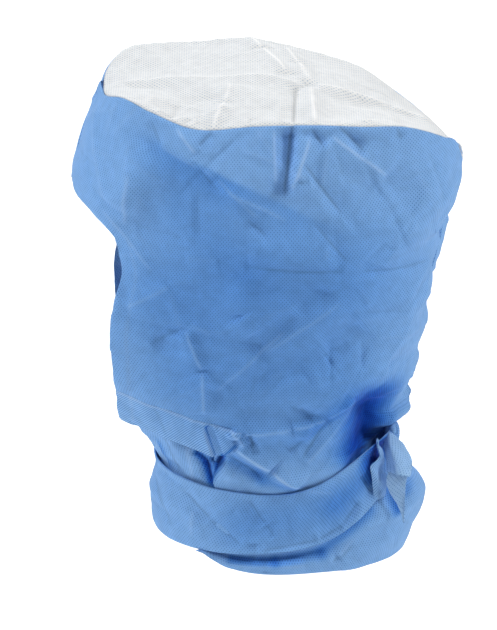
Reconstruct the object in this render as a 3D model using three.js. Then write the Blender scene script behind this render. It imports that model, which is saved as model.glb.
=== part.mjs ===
// Surgical hood in its worn shape. A white crown panel is joined to two blue side panels that meet at
// the centre front and the centre back. A doubled hem runs under each jaw, a flap closes the throat,
// and a wide tie goes once round the neck to a knot at the nape, where its two free ends hang.
// Millimetres, +Z up. The wearer faces -Y and the wearer's left is +X. The origin is on the underside
// of the crown, where the top of the head touches it.
import * as THREE from 'three';

// Driving dimensions
const WALL = 1.2; // cloth, built thicker than the real nonwoven so that it is a solid wall
const GAP = 0.3; // clearance between two pieces that lie on or beside each other
const TIE_GAP = 0.9; // clearance of the tie over the neck, where the two meshes have other facets
const AXIS_Y = 10; // the upright axis that every section is measured round
const HEM_DOWN = 187; // upper line of the jaw hem, measured down the panel
const JAW_DOWN = 205; // lower edge of the jaw hem
const SKIRT_DOWN = 303; // neck hem
const BROW = { centre: 61, temple: 71 }; // edge of the face opening over the forehead
const PEAK = { out: 2.6, up: 6 }; // point where the two panels meet over the brow
const LIP = { inset: 1.2, up: 2.2 }; // rounded edge that turns the crown down into its seam
const CROWN_DOME = 1.3; // power of the crown's fall from its centre crease to its edge
const FLAP_ANGLE = 1.32; // how far round the chin flap reaches inside the panels, radians
const FLAP_SQUARE = 2.15; // power of the chin flap's rounded outline
const KNOT = { x: 13.1, y: 86, z: -220, wide: 10, deep: 5, high: 8 };
const KNOT_GROOVE = { deep: 0.16, wide: 0.35 }; // as shares of the knot's radius

// Mesh fineness
const COLUMNS = { forehead: 5, jaw: 7, back: 18, tie: 48, flap: 20, knot: 14, end: 6 };
const ROWS = { forehead: 6, cheek: 9, hem: 2, neck: 10, tie: 4, flap: 8, knot: 8, end: 8 };
const CROWN_RINGS = [0.15, 0.3, 0.45, 0.6, 0.74, 0.86, 0.95];
const STEP = { angle: 0.01, down: 0.5 }; // small steps that give a surface's directions

const RADIANS = Math.PI / 180;
const ON_CENTRE = 1e-6; // sine of an angle that counts as the centre line
const PANEL = {
  columns: COLUMNS.forehead + COLUMNS.jaw + COLUMNS.back,
  rows: ROWS.forehead + ROWS.cheek + ROWS.hem + ROWS.neck,
  browRow: ROWS.forehead,
  hemRow: ROWS.forehead + ROWS.cheek,
  jawRow: ROWS.forehead + ROWS.cheek + ROWS.hem,
  pleatColumn: COLUMNS.forehead + COLUMNS.jaw,
};

const COLOURS = { crown: '#eef1f3', panel: '#6b9fdf', hem: '#74a6e2', flap: '#6fa3e0', tie: '#6497d8' };

/** Turns a header and its rows into one object for each row. */
function table(columns, rows) {
  return rows.map((row) => Object.fromEntries(columns.map((name, i) => [name, row[i]])));
}

// Heights of the crown's seam on each side, and of its centre crease, from the front to the back.
const CROWN = table(
  ['y', 'left', 'crease', 'right'],
  [
    [-91, -4.5, -4.5, -4.5],
    [-80, 2, -3.5, 1],
    [-62, -1.5, -2, 0.5],
    [-36, -8.5, -0.5, -0.5],
    [0, -5.5, 1.2, 0.5],
    [35, -5, -5, -8],
    [62, -7.5, -13, -16],
    [90, -11.5, -23, -33],
    [112, -24.5, -32, -44.5],
    [120, -38, -42, -48],
    [125, -53, -53, -53],
  ],
);

// Sections of the body from the crown seam down to the neck hem. The first one takes its heights from
// the crown. 'down' runs along the cloth, and 'square' is the power of the section's rounded outline.
const SECTIONS = table(
  ['name', 'down', 'zFront', 'zSide', 'zBack', 'yFront', 'yBack', 'half', 'squareFront', 'squareBack'],
  [
    ['seam', 0, 0, 0, 0, -91, 125, 76, 2.45, 2.3],
    ['forehead', 30, -33, -35, -76, -103, 124, 79, 2.6, 2.2],
    ['brow', 66, -67, -86, -93, -110, 114, 80, 2.45, 2.2],
    ['ear', 105, -108, -118, -120, -110, 108, 80, 2.9, 2.1],
    ['cheek', 150, -152, -158, -156, -114, 101, 77, 2.8, 2.1],
    ['hem', 187, -170, -199, -188, -112, 93, 72, 2.4, 2.1],
    ['jaw', 205, -191, -219.5, -206, -104, 88, 67, 2.2, 2.1],
    ['tie top', 238, -235, -241, -219, -60, 80, 62, 2.1, 2.1],
    ['tie middle', 262, -258, -259, -239, -61, 82, 62, 2.1, 2.1],
    ['tie low', 283, -280, -278, -262, -60, 104, 65, 2.1, 2.1],
    ['neck hem', 303, -282, -291, -293, -52, 91, 66, 2.1, 2.1],
  ],
);

// Front edge of each side panel, in degrees round from the centre front: the cheek side of the face
// opening above the jaw, and below it the pleat where the panel turns in under the tie.
const CHEEK_EDGE = table(
  ['down', 'degrees'],
  [
    [0, 32],
    [71, 33],
    [88, 36],
    [110, 35],
    [130, 33.5],
    [165, 32],
    [187, 30],
    [205, 27],
  ],
);
const PLEAT_EDGE = table(
  ['down', 'degrees'],
  [
    [205, 63],
    [238, 59],
    [262, 55],
    [303, 54],
  ],
);

// Main folds of the side panels, as lines seen from the side. 'high' is how far the cloth stands out,
// and a negative height is a hollow.
const FOLDS = table(
  ['name', 'side', 'y1', 'z1', 'y2', 'z2', 'wide', 'high'],
  [
    ['temple ridge', 'left', -62, -37, -84, -61, 12, 2.5],
    ['crown valley', 'left', 20, -5, 15, -47, 10, -3],
    ['nape hollow', 'left', 68, -189, 74, -219, 9, -9],
    ['nape hollow', 'right', 68, -193, 74, -219, 9, -7],
    ['nape arch', 'left', 38, -173, 66, -167, 14, 4],
    ['ear fold', 'left', -10, -125, 100, -119, 10, 2],
    ['cheek fold upper', 'left', -62, -176, 22, -141, 9, 1.6],
    ['cheek fold lower', 'left', -34, -190, 36, -158, 8, 1.4],
    ['back bulge', 'right', 113, -92, 108, -112, 10, 5],
  ],
);

// Upper and lower edges of the tie round the neck, measured down the panel.
const TIE_EDGES = table(
  ['degrees', 'top', 'low'],
  [
    [0, 238, 283],
    [60, 238, 284],
    [90, 238, 282],
    [125, 237, 278],
    [150, 236, 269],
    [180, 236, 266],
  ],
);

// Sections of the chin flap from its hidden top edge to its hidden lower edge.
const FLAP_SECTIONS = table(
  ['down', 'zFront', 'zSide', 'yFront', 'half'],
  [
    [0, -208, -203, -78, 61],
    [15, -221, -221, -68.5, 60.2],
    [32, -235, -239, -57.6, 59.8],
    [50, -254, -256, -58.6, 59.6],
    [66, -270, -270, -58, 60],
  ],
);

// The two free ends of the tie, from the knot to the tip, placed over the body: where the middle of
// the strip lies round and down it, how far outside it, half the strip's width and its curl.
const LEFT_END = table(
  ['length', 'degrees', 'down', 'out', 'half', 'curl'],
  [
    [0, 163, 238, 4.2, 3, 0],
    [12, 157, 249, 4.2, 6, 0.6],
    [24, 156, 261, 4.4, 7, 1],
    [38, 157, 273, 4.2, 6.5, 1],
  ],
);
const RIGHT_END = table(
  ['length', 'degrees', 'down', 'out', 'half', 'curl'],
  [
    [0, 160.5, 231, 9.2, 3, 0],
    [14, 157.5, 243, 12, 6.5, 2],
    [30, 157, 258, 14, 10, 4],
    [46, 155, 272, 9, 6, 3],
    [60, 154, 286, 4, 1.5, 0.5],
  ],
);

/** Smooth value of one column at a place along the rows' key column. */
function along(rows, key, column, at) {
  const last = rows.length - 1;
  if (at <= rows[0][key]) return rows[0][column];
  if (at >= rows[last][key]) return rows[last][column];
  const i = rows.findIndex((row, k) => k < last && at <= rows[k + 1][key]);
  const slope = (k) => (rows[k + 1][column] - rows[k][column]) / (rows[k + 1][key] - rows[k][key]);
  const tangent = (k) => (slope(Math.max(k - 1, 0)) + slope(Math.min(k, last - 1))) / 2;
  const step = rows[i + 1][key] - rows[i][key];
  const t = (at - rows[i][key]) / step;
  const bend = step * tangent(i) * t * (1 - t) ** 2 - step * tangent(i + 1) * t ** 2 * (1 - t);
  return THREE.MathUtils.lerp(rows[i][column], rows[i + 1][column], t * t * (3 - 2 * t)) + bend;
}

/** A point of a section's rounded outline, at an angle round from the centre front. */
function outline(section, angle) {
  const sine = Math.sin(angle);
  const cosine = Math.cos(angle);
  const front = cosine > 0;
  const reach = front ? AXIS_Y - section.yFront : section.yBack - AXIS_Y;
  const power = front ? section.squareFront : section.squareBack;
  const spread = (Math.abs(sine) / section.half) ** power + (Math.abs(cosine) / reach) ** power;
  const radius = spread ** (-1 / power);
  const tilt = ((front ? section.zFront : section.zBack) - section.zSide) * cosine ** 2;
  return new THREE.Vector3(radius * sine, AXIS_Y - radius * cosine, section.zSide + tilt);
}

/** The crown seam, on the left or the right side. */
function seamPoint(angle, side) {
  const point = outline(SECTIONS[0], angle);
  point.z = along(CROWN, 'y', side, point.y);
  return point;
}

/** Level direction out of the crown seam. */
function seamDirection(angle) {
  const run = seamPoint(angle + STEP.angle, 'left').sub(seamPoint(angle - STEP.angle, 'left'));
  const onCentre = Math.abs(Math.sin(angle)) < ON_CENTRE;
  return new THREE.Vector3(run.y, onCentre ? 0 : -run.x, 0).normalize();
}

/** A point of the body before its folds. The right side is worked out on the left. */
function smoothBody(angle, down, side) {
  const rows = SECTIONS.map((section, i) => {
    const { x, y, z } = i === 0 ? seamPoint(angle, side) : outline(section, angle);
    return { down: section.down, x, y, z };
  });
  return new THREE.Vector3(...['x', 'y', 'z'].map((column) => along(rows, 'down', column, down)));
}

/** The body's outward direction. On the centre line it has no sideways part. */
function bodyNormal(angle, down, side) {
  const round = smoothBody(angle + STEP.angle, down, side);
  round.sub(smoothBody(angle - STEP.angle, down, side));
  const above = Math.max(down - STEP.down, 0);
  const fall = smoothBody(angle, down + STEP.down, side).sub(smoothBody(angle, above, side));
  const normal = fall.cross(round);
  if (Math.sin(angle) < ON_CENTRE) normal.x = 0;
  return normal.normalize();
}

/** How far the folds move the cloth outward at a point. */
function foldHeight(point, side) {
  return FOLDS.filter((fold) => fold.side === side).reduce((total, fold) => {
    const run = new THREE.Vector2(fold.y2 - fold.y1, fold.z2 - fold.z1);
    const from = new THREE.Vector2(point.y - fold.y1, point.z - fold.z1);
    const share = THREE.MathUtils.clamp(from.dot(run) / run.lengthSq(), 0, 1);
    const away = from.addScaledVector(run, -share).length() / fold.wide;
    return total + fold.high * Math.exp(-away * away);
  }, 0);
}

/** A point of the body with its folds, moved outward by 'out'. */
function bodyPoint(angle, down, side, out = 0) {
  const point = smoothBody(angle, down, side);
  const normal = bodyNormal(angle, down, side);
  return point.addScaledVector(normal, foldHeight(point, side) + out);
}

/** Faces of a grid of columns and rows, for the cells that 'present' keeps. */
function gridFaces(columns, rows, vertexAt, present = () => true) {
  const faces = [];
  for (let c = 0; c < columns; c += 1) {
    for (let r = 0; r < rows; r += 1) {
      if (!present(c, r)) continue;
      const [topLeft, lowLeft] = [vertexAt(c, r), vertexAt(c, r + 1)];
      const [topRight, lowRight] = [vertexAt(c + 1, r), vertexAt(c + 1, r + 1)];
      faces.push([topLeft, lowLeft, lowRight], [topLeft, lowRight, topRight]);
    }
  }
  return faces;
}

/** Average outward direction at each vertex of a sheet. */
function sheetNormals(points, faces) {
  const normals = points.map(() => new THREE.Vector3());
  for (const [a, b, c] of faces) {
    const across = points[b].clone().sub(points[a]);
    const normal = across.cross(points[c].clone().sub(points[a]));
    [a, b, c].forEach((i) => normals[i].add(normal));
  }
  return normals.map((normal) => normal.normalize());
}

/** Closed wall of cloth: a sheet, its copy 'thick' further in, and rims along every free edge. */
function wall(points, faces, thick = WALL, steer = (normal) => normal) {
  const normals = sheetNormals(points, faces).map((normal, i) => steer(normal, i).normalize());
  const inner = points.map((point, i) => point.clone().addScaledVector(normals[i], -thick));
  const count = points.length;
  const edges = new Set(faces.flatMap(([a, b, c]) => [`${a},${b}`, `${b},${c}`, `${c},${a}`]));
  const rims = [...edges]
    .map((edge) => edge.split(',').map(Number))
    .filter(([a, b]) => !edges.has(`${b},${a}`))
    .flatMap(([a, b]) => [[b, a, a + count], [b, a + count, b + count]]);
  const inside = faces.map(([a, b, c]) => [a + count, c + count, b + count]);
  return closedGeometry([...points, ...inner], [...faces, ...inside, ...rims]);
}

/** Buffer geometry of a closed body, without the vertices that no face uses. */
function closedGeometry(points, faces) {
  const used = [...new Set(faces.flat())];
  const place = new Map(used.map((vertex, i) => [vertex, i]));
  const geometry = new THREE.BufferGeometry();
  const positions = used.flatMap((vertex) => points[vertex].toArray());
  geometry.setAttribute('position', new THREE.Float32BufferAttribute(positions, 3));
  geometry.setIndex(faces.flat().map((vertex) => place.get(vertex)));
  geometry.computeVertexNormals();
  return geometry;
}

/** The same body on the other side of the centre plane. */
function mirrored(geometry) {
  geometry.scale(-1, 1, 1);
  const index = geometry.getIndex();
  for (let i = 0; i < index.count; i += 3) {
    const kept = index.getX(i);
    index.setX(i, index.getX(i + 1));
    index.setX(i + 1, kept);
  }
  geometry.computeVertexNormals();
  return geometry;
}

/** The crown: nearly flat between its two seams, creased along the centre, with a rounded edge. */
function crownPanel() {
  const columns = Array.from({ length: PANEL.columns + 1 }, (_, column) => column);
  const spokes = ['left', 'right'].flatMap((side) => {
    const own = side === 'left' ? columns : columns.slice(1, -1).reverse();
    return own.map((column) => {
      const angle = panelAngle(column, 0);
      const flip = new THREE.Vector3(side === 'left' ? 1 : -1, 1, 1);
      return { side, seam: seamPoint(angle, side).multiply(flip), out: seamDirection(angle).multiply(flip) };
    });
  });
  const points = [new THREE.Vector3(0, 0, along(CROWN, 'y', 'crease', 0))];
  for (const ring of CROWN_RINGS) {
    for (const { side, seam } of spokes) {
      const [x, y] = [seam.x * ring, seam.y * ring];
      const edge = along(CROWN, 'y', side, y) + LIP.up;
      const share = Math.min(Math.abs(x) / crownHalfWidth(y), 1) ** CROWN_DOME;
      const z = THREE.MathUtils.lerp(along(CROWN, 'y', 'crease', y), edge, share);
      points.push(new THREE.Vector3(x, y, z));
    }
  }
  for (const { inset, up } of [LIP, { inset: 0, up: GAP }]) {
    for (const { seam, out } of spokes) {
      points.push(seam.clone().addScaledVector(out, -inset).setZ(seam.z + up));
    }
  }
  const vertexAt = (spoke, ring) => 1 + ring * spokes.length + (spoke % spokes.length);
  const faces = gridFaces(spokes.length, CROWN_RINGS.length + 1, vertexAt);
  spokes.forEach((_, spoke) => faces.push([0, vertexAt(spoke, 0), vertexAt(spoke + 1, 0)]));
  const lowest = vertexAt(0, CROWN_RINGS.length + 1);
  return wall(points, faces, WALL, (normal, i) => (i >= lowest ? spokes[i - lowest].out.clone() : normal));
}

/** Half the crown's width at a place along the head. */
function crownHalfWidth(y) {
  const { half, yFront, yBack, squareFront, squareBack } = SECTIONS[0];
  const front = y < AXIS_Y;
  const share = front ? (AXIS_Y - y) / (AXIS_Y - yFront) : (y - AXIS_Y) / (yBack - AXIS_Y);
  const power = front ? squareFront : squareBack;
  return Math.max(half * (1 - Math.min(share, 1) ** power) ** (1 / power), 1);
}

/** Share of the way from the cheek edge to the centre back at which the pleat lies on the jaw line. */
function pleatShare() {
  const cheek = along(CHEEK_EDGE, 'down', 'degrees', JAW_DOWN);
  return (along(PLEAT_EDGE, 'down', 'degrees', JAW_DOWN) - cheek) / (180 - cheek);
}

/** Where a row of the panel lies at a column: the forehead rows follow the brow edge. */
function panelDown(column, row) {
  const { lerp } = THREE.MathUtils;
  const towardTemple = Math.min(column / COLUMNS.forehead, 1);
  const brow = lerp(BROW.centre, BROW.temple, towardTemple ** 2);
  if (row <= PANEL.browRow) return (brow * row) / ROWS.forehead;
  if (row <= PANEL.hemRow) return lerp(brow, HEM_DOWN, (row - PANEL.browRow) / ROWS.cheek);
  if (row <= PANEL.jawRow) return lerp(HEM_DOWN, JAW_DOWN, (row - PANEL.hemRow) / ROWS.hem);
  return lerp(JAW_DOWN, SKIRT_DOWN, (row - PANEL.jawRow) / ROWS.neck);
}

/** Angle of a column of the panel, which runs from its front edge to the centre back. */
function panelAngle(column, down) {
  const { lerp } = THREE.MathUtils;
  const edge = along(CHEEK_EDGE, 'down', 'degrees', down);
  if (column < COLUMNS.forehead) return ((edge * column) / COLUMNS.forehead) * RADIANS;
  const backShare = (column - PANEL.pleatColumn) / COLUMNS.back;
  if (down > JAW_DOWN) return lerp(along(PLEAT_EDGE, 'down', 'degrees', down), 180, backShare) * RADIANS;
  const jawShare = (column - COLUMNS.forehead) / COLUMNS.jaw;
  const share = backShare > 0 ? lerp(pleatShare(), 1, backShare) : pleatShare() * jawShare;
  return lerp(edge, 180, share) * RADIANS;
}

/** True for the cells of the panel's grid that are cloth: not the face opening, nor under the jaw. */
function panelPresent(column, row) {
  if (row < PANEL.browRow) return true;
  if (row < PANEL.jawRow) return column >= COLUMNS.forehead;
  return column >= PANEL.pleatColumn;
}

/** A vertex of a side panel. Its top corner stands up in a small point over the brow. */
function panelVertex(column, row, side, out = 0) {
  const down = panelDown(column, row);
  const angle = panelAngle(column, down);
  const point = bodyPoint(angle, down, side, out);
  if (row === 0 && column < 2) point.y -= PEAK.out;
  if (row === 0 && column === 0) point.z += PEAK.up;
  point.x = Math.max(point.x, GAP / 2);
  return point;
}

/** One side panel, from the crown seam to the neck hem. */
function sidePanel(side) {
  const points = [];
  for (let column = 0; column <= PANEL.columns; column += 1) {
    for (let row = 0; row <= PANEL.rows; row += 1) points.push(panelVertex(column, row, side));
  }
  const vertexAt = (column, row) => column * (PANEL.rows + 1) + row;
  const faces = gridFaces(PANEL.columns, PANEL.rows, vertexAt, panelPresent);
  const steer = (normal, i) => {
    const column = Math.floor(i / (PANEL.rows + 1));
    if (i % (PANEL.rows + 1) === 0) return seamDirection(panelAngle(column, 0));
    return column === 0 || column === PANEL.columns ? normal.setX(0) : normal;
  };
  const geometry = wall(points, faces, WALL, steer);
  return side === 'left' ? geometry : mirrored(geometry);
}

/** The doubled hem, laid on a panel from the cheek edge to the pleat. */
function jawHem(side) {
  const points = [];
  for (let column = COLUMNS.forehead; column <= PANEL.pleatColumn; column += 1) {
    for (let row = PANEL.hemRow; row <= PANEL.jawRow; row += 1) {
      points.push(panelVertex(column, row, side, GAP + WALL));
    }
  }
  const vertexAt = (column, row) => column * (ROWS.hem + 1) + row;
  const geometry = wall(points, gridFaces(COLUMNS.jaw, ROWS.hem, vertexAt));
  return side === 'left' ? geometry : mirrored(geometry);
}

/** The flap under the chin, which runs down inside the panels and behind the tie. */
function chinFlap() {
  const length = FLAP_SECTIONS[FLAP_SECTIONS.length - 1].down;
  const points = [];
  for (let column = 0; column <= COLUMNS.flap; column += 1) {
    const angle = THREE.MathUtils.lerp(-FLAP_ANGLE, FLAP_ANGLE, column / COLUMNS.flap);
    for (let row = 0; row <= ROWS.flap; row += 1) {
      const down = (length * row) / ROWS.flap;
      const names = ['zFront', 'zSide', 'yFront', 'half'];
      const sizes = names.map((name) => [name, along(FLAP_SECTIONS, 'down', name, down)]);
      const section = { ...Object.fromEntries(sizes), squareFront: FLAP_SQUARE };
      const point = outline(section, Math.abs(angle));
      points.push(point.setX(point.x * Math.sign(angle)));
    }
  }
  return wall(points, gridFaces(COLUMNS.flap, ROWS.flap, (column, row) => column * (ROWS.flap + 1) + row));
}

/** The tie, once round the neck over the panels and the chin flap. */
function neckTie() {
  const points = [];
  for (let column = 0; column < COLUMNS.tie; column += 1) {
    const turn = (2 * Math.PI * column) / COLUMNS.tie;
    const right = turn > Math.PI;
    const angle = right ? 2 * Math.PI - turn : turn;
    const top = along(TIE_EDGES, 'degrees', 'top', angle / RADIANS);
    const low = along(TIE_EDGES, 'degrees', 'low', angle / RADIANS);
    for (let row = 0; row <= ROWS.tie; row += 1) {
      const down = THREE.MathUtils.lerp(top, low, row / ROWS.tie);
      const point = smoothBody(angle, down, 'left');
      point.addScaledVector(bodyNormal(angle, down, 'left'), TIE_GAP + WALL);
      points.push(right ? point.setX(-point.x) : point);
    }
  }
  const vertexAt = (column, row) => (column % COLUMNS.tie) * (ROWS.tie + 1) + row;
  return wall(points, gridFaces(COLUMNS.tie, ROWS.tie, vertexAt));
}

/** The knot: a rounded lump with a slanting groove between its two turns of cloth. */
function tieKnot() {
  const knotPoint = (turn, lift) => {
    const across = Math.cos(lift) * Math.cos(turn);
    const height = Math.sin(lift);
    const off = (across + height) / KNOT_GROOVE.wide;
    const groove = 1 - KNOT_GROOVE.deep * Math.exp(-off * off);
    const depth = Math.cos(lift) * Math.sin(turn);
    return new THREE.Vector3(
      KNOT.x + KNOT.wide * across * groove,
      KNOT.y + KNOT.deep * depth * groove,
      KNOT.z + KNOT.high * height * groove,
    );
  };
  const points = [knotPoint(0, Math.PI / 2), knotPoint(0, -Math.PI / 2)];
  for (let ring = 1; ring < ROWS.knot; ring += 1) {
    for (let spoke = 0; spoke < COLUMNS.knot; spoke += 1) {
      points.push(knotPoint((2 * Math.PI * spoke) / COLUMNS.knot, Math.PI * (0.5 - ring / ROWS.knot)));
    }
  }
  const vertexAt = (spoke, ring) => 2 + ring * COLUMNS.knot + (spoke % COLUMNS.knot);
  const faces = gridFaces(COLUMNS.knot, ROWS.knot - 2, vertexAt);
  for (let spoke = 0; spoke < COLUMNS.knot; spoke += 1) {
    faces.push([0, vertexAt(spoke, 0), vertexAt(spoke + 1, 0)]);
    faces.push([1, vertexAt(spoke + 1, ROWS.knot - 2), vertexAt(spoke, ROWS.knot - 2)]);
  }
  return closedGeometry(points, faces);
}

/** One free end of the tie: a strip that hangs from the knot, curled along its length. */
function tieEnd(rows) {
  const length = rows[rows.length - 1].length;
  const points = [];
  for (let column = 0; column <= COLUMNS.end; column += 1) {
    const across = 2 * (column / COLUMNS.end) - 1;
    for (let row = 0; row <= ROWS.end; row += 1) {
      const value = (name) => along(rows, 'length', name, (length * row) / ROWS.end);
      const middle = value('degrees') * RADIANS;
      const level = smoothBody(middle, value('down'), 'left');
      const reach = Math.hypot(level.x, level.y - AXIS_Y);
      const angle = middle + (across * value('half')) / reach;
      const out = value('out') + value('curl') * across ** 2;
      const point = smoothBody(angle, value('down'), 'left');
      points.push(point.addScaledVector(bodyNormal(angle, value('down'), 'left'), out));
    }
  }
  return wall(points, gridFaces(COLUMNS.end, ROWS.end, (column, row) => column * (ROWS.end + 1) + row));
}

/** A named piece of matt nonwoven cloth. */
function piece(name, geometry, colour) {
  const material = new THREE.MeshStandardMaterial({ color: colour, roughness: 0.85, metalness: 0 });
  const mesh = new THREE.Mesh(geometry, material);
  mesh.name = name;
  return mesh;
}

const hood = new THREE.Group();
hood.name = 'surgical_hood';
hood.add(piece('crown_panel', crownPanel(), COLOURS.crown));
for (const side of ['left', 'right']) {
  hood.add(piece(`side_panel_${side}`, sidePanel(side), COLOURS.panel));
  hood.add(piece(`jaw_hem_${side}`, jawHem(side), COLOURS.hem));
}
hood.add(piece('chin_flap', chinFlap(), COLOURS.flap));
hood.add(piece('neck_tie', neckTie(), COLOURS.tie));
hood.add(piece('tie_knot', tieKnot(), COLOURS.tie));
hood.add(piece('tie_end_left', tieEnd(LEFT_END), COLOURS.tie));
hood.add(piece('tie_end_right', tieEnd(RIGHT_END), COLOURS.tie));

export default hood;
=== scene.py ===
import math
from functools import partial

import bpy
import numpy as np
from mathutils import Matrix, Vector


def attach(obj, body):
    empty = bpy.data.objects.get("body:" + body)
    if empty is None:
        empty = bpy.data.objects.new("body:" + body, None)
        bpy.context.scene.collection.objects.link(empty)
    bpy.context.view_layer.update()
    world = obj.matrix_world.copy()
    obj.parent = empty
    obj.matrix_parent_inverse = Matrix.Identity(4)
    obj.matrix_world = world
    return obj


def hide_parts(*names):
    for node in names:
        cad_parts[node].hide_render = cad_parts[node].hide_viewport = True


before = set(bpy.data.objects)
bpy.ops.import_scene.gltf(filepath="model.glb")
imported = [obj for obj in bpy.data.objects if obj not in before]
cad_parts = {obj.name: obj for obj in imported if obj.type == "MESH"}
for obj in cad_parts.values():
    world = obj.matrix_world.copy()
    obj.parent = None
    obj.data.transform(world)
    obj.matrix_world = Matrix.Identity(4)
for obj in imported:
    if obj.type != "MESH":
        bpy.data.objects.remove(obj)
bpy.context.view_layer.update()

MM = 0.001

# Driving sizes, as in the construction
WALL = 1.2
TIE_GAP = 0.9
AXIS_Y = 10.0
HEM_DOWN = 187.0
JAW_DOWN = 205.0
SKIRT_DOWN = 303.0
BROW = {"centre": 61.0, "temple": 72.5, "square": 6}
PEAK = {"out": 1.2, "up": 2.2, "wide": 8.0, "down": 10.0}
LIP = {"inset": 1.3, "up": 0.9}
SEAM_HALF_GAP = 0.15

# The cloth itself: its thickness, the seed of its small random creases, and the puckers at its seams
BODY_THICK = 0.45
CROWN_THICK = 0.4
SEED = 7
PUCKER = {"panel": 0.35, "crown": 0.3, "fall": 9}

# Length of cloth round the body: for a radian at the ear, at the brow and along the crown's seam, and
# for a degree at the edge of the face
EAR_RADIUS = 76
BROW_RADIUS = 95
CROWN_RADIUS = 90
FACE_DEGREE = 1.35


def table(names, *values):
    """A short table with named columns, a row for each section or fold."""
    return [dict(zip(names.split(), row)) for row in values]


def column(rows, name):
    """One column of a table."""
    return np.array([row[name] for row in rows], float)


# Heights of the crown's seam on each side, and of its centre crease, from the front to the back
CROWN = table(
    "y left crease right",
    (-91, -4.5, -4.5, -4.5),
    (-80, 2, -3.5, 1),
    (-62, -1.5, -2, 0.5),
    (-36, -8.5, -0.5, -0.5),
    (0, -5.5, 1.2, 0.5),
    (35, -5, -5, -8),
    (62, -7.5, -13, -16),
    (90, -11.5, -23, -33),
    (112, -23.5, -34.5, -47.5),
    (120, -31, -48, -52),
    (125, -47.5, -47.5, -47.5),
)

# Sections of the body from the crown seam down to the neck hem, 'down' being measured along the cloth
SECTIONS = table(
    "name down z_front z_side z_back y_front y_back half square_front square_back",
    ("seam", 0, 0, 0, 0, -91, 125, 76, 2.45, 2.3),
    ("forehead", 30, -33, -35, -76, -103, 124, 79, 2.6, 2.2),
    ("brow", 66, -67, -86, -93, -110, 114, 80, 2.45, 2.2),
    ("ear", 105, -108, -118, -120, -110, 108, 80, 2.9, 2.1),
    ("cheek", 150, -152, -158, -156, -114, 101, 77, 2.8, 2.1),
    ("hem", 187, -170, -199, -188, -112, 93, 72, 2.4, 2.1),
    ("jaw", 205, -191, -219.5, -206, -104, 88, 67, 2.2, 2.1),
    ("tie top", 238, -235, -241, -219, -60, 80, 62, 2.1, 2.1),
    ("tie middle", 262, -258, -259, -239, -61, 82, 62, 2.1, 2.1),
    ("tie low", 283, -280, -278, -262, -60, 104, 65, 2.1, 2.1),
    ("neck hem", 303, -282, -291, -293, -52, 91, 66, 2.1, 2.1),
)

# How much squarer the seam's right front corner is
RIGHT_CORNER = 0.6

# Front edge of a side panel, in degrees round from the centre front, above and below the jaw
CHEEK_EDGE = table(
    "down degrees",
    (0, 32), (71, 33), (88, 36), (110, 35), (130, 33.5), (165, 32), (187, 30), (205, 27),
)
PLEAT_EDGE = table("down degrees", (205, 63), (238, 59), (262, 55), (303, 54))


# ---- curves, creases and folds

CREASE_EDGE = 0.6  # rounding of a pressed crease
CREASE_LINE = 0.9  # width of the line that a pressed crease leaves: paler on a ridge, partly whitened fibres and partly painted highlight, and darker in a valley, painted shade
FULL_LINE = 3.5  # a crease this high leaves its full line


def smooth_along(keys, values, at):
    """Smooth curve through the values at the keys. The values are numbers, or points for each place."""
    keys = np.asarray(keys, float)
    values = np.asarray(values, float)
    step = np.diff(keys).reshape((-1,) + (1,) * (values.ndim - 1))
    slope = np.diff(values, axis=0) / step
    tangent = (np.concatenate([slope[:1], slope]) + np.concatenate([slope, slope[-1:]])) / 2
    at = np.clip(np.asarray(at, float), keys[0], keys[-1])
    i = np.clip(np.searchsorted(keys, at) - 1, 0, len(keys) - 2)
    pick = (lambda a, k: a[k]) if values.ndim == 1 else (lambda a, k: a[k, np.arange(len(at))])
    span = keys[i + 1] - keys[i]
    t = (at - keys[i]) / span
    if values.ndim > 1:
        span = span[:, None]
        t = t[:, None]
    bend = span * (pick(tangent, i) * t * (1 - t) ** 2 - pick(tangent, i + 1) * t ** 2 * (1 - t))
    share = t * t * (3 - 2 * t)
    return pick(values, i) * (1 - share) + pick(values, i + 1) * share + bend


def read(rows, key, name, at):
    """Smooth curve through one column of a table, at places given as in its key column."""
    return smooth_along(column(rows, key), column(rows, name), at)


def ramp(at, start, end):
    """Rises evenly from 0 at the start to 1 at the end, which may be the smaller number."""
    return np.clip((at - start) / (end - start), 0, 1)


def bell(at, middle, wide):
    """A bell curve, 1 in the middle."""
    return np.exp(-((at - middle) / wide) ** 2)


def grid(first, second):
    """Both values at every vertex of a grid."""
    return np.array(np.meshgrid(first, second, indexing="ij")).reshape(2, -1)


def oval(sine, cosine, half, reach, square):
    """Distance out to a squared oval in a direction, from its half width and its reach."""
    return ((np.abs(sine) / half) ** square + (np.abs(cosine) / reach) ** square) ** (-1 / square)


def section_points(angle, side):
    """Points of every section at each angle round from the centre front."""
    sine = np.sin(angle)
    cosine = np.cos(angle)
    front = cosine > 0
    size = {name: column(SECTIONS, name)[:, None] for name in SECTIONS[0] if name != "name"}
    reach = np.where(front, AXIS_Y - size["y_front"], size["y_back"] - AXIS_Y)
    power = np.where(front, size["square_front"], size["square_back"])
    power[0] += front[0] * RIGHT_CORNER if side == "right" else 0
    radius = oval(sine, cosine, size["half"], reach, power)
    end = np.where(front, size["z_front"], size["z_back"])
    x = radius * sine
    y = AXIS_Y - radius * cosine
    z = size["z_side"] + (end - size["z_side"]) * cosine ** 2
    z[0] = read(CROWN, "y", side, y[0])
    return np.stack([x, y, z], axis=2)


def smooth_body(angle, down, side):
    """Points of the body before its folds. The right side is worked out on the left."""
    return smooth_along(column(SECTIONS, "down"), section_points(angle, side), down)


def unit(vectors):
    """Each direction with a length of 1."""
    return vectors / np.maximum(np.linalg.norm(vectors, axis=-1, keepdims=True), 1e-9)


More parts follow.
